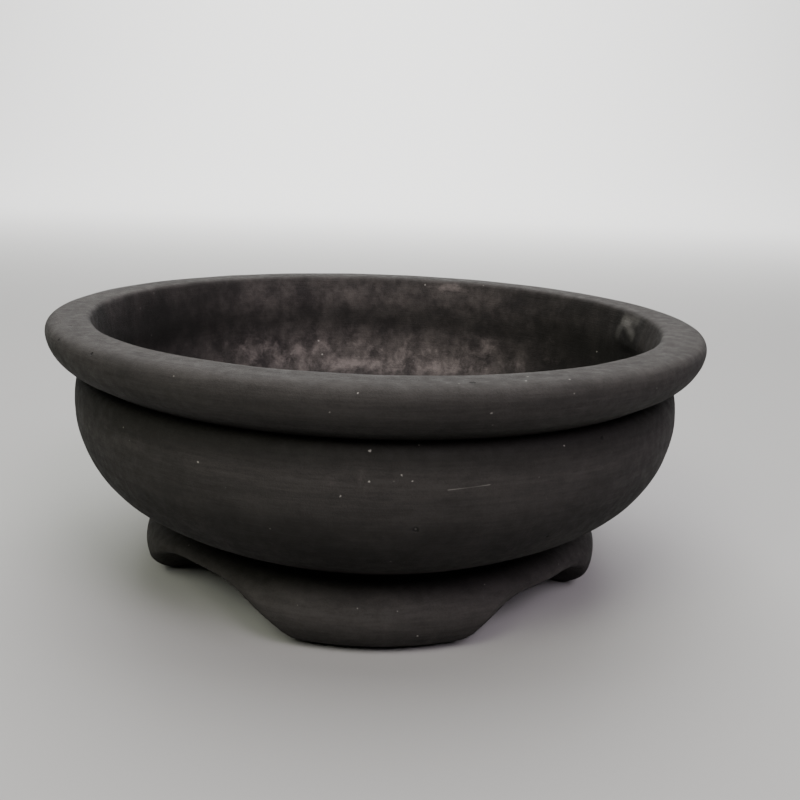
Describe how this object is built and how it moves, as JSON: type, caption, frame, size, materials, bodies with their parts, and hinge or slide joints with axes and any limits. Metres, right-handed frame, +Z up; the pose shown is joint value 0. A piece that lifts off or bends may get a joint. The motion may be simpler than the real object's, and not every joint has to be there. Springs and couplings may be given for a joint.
{
  "type": "bonsai pot",
  "caption": "Round low bonsai pot with a rolled rim, bulging bowl wall and an arched foot ring; holds soil and drains through its floor.",
  "frame": {"origin": "on the ground below the centre of the pot", "axes": "+Z up along the pot's axis, -Y through the front foot, +X through the right foot"},
  "size_m": [0.18, 0.18, 0.0742],
  "materials": {
    "charcoal_clay": "matte, unglazed"
  },
  "bodies": {
    "root": {"floor_slab": "charcoal_clay", "belly_wall": "charcoal_clay", "rim_roll": "charcoal_clay", "foot_ring": "charcoal_clay", "front_foot": "charcoal_clay", "right_foot": "charcoal_clay", "back_foot": "charcoal_clay", "left_foot": "charcoal_clay"}
  },
  "joints": []
}
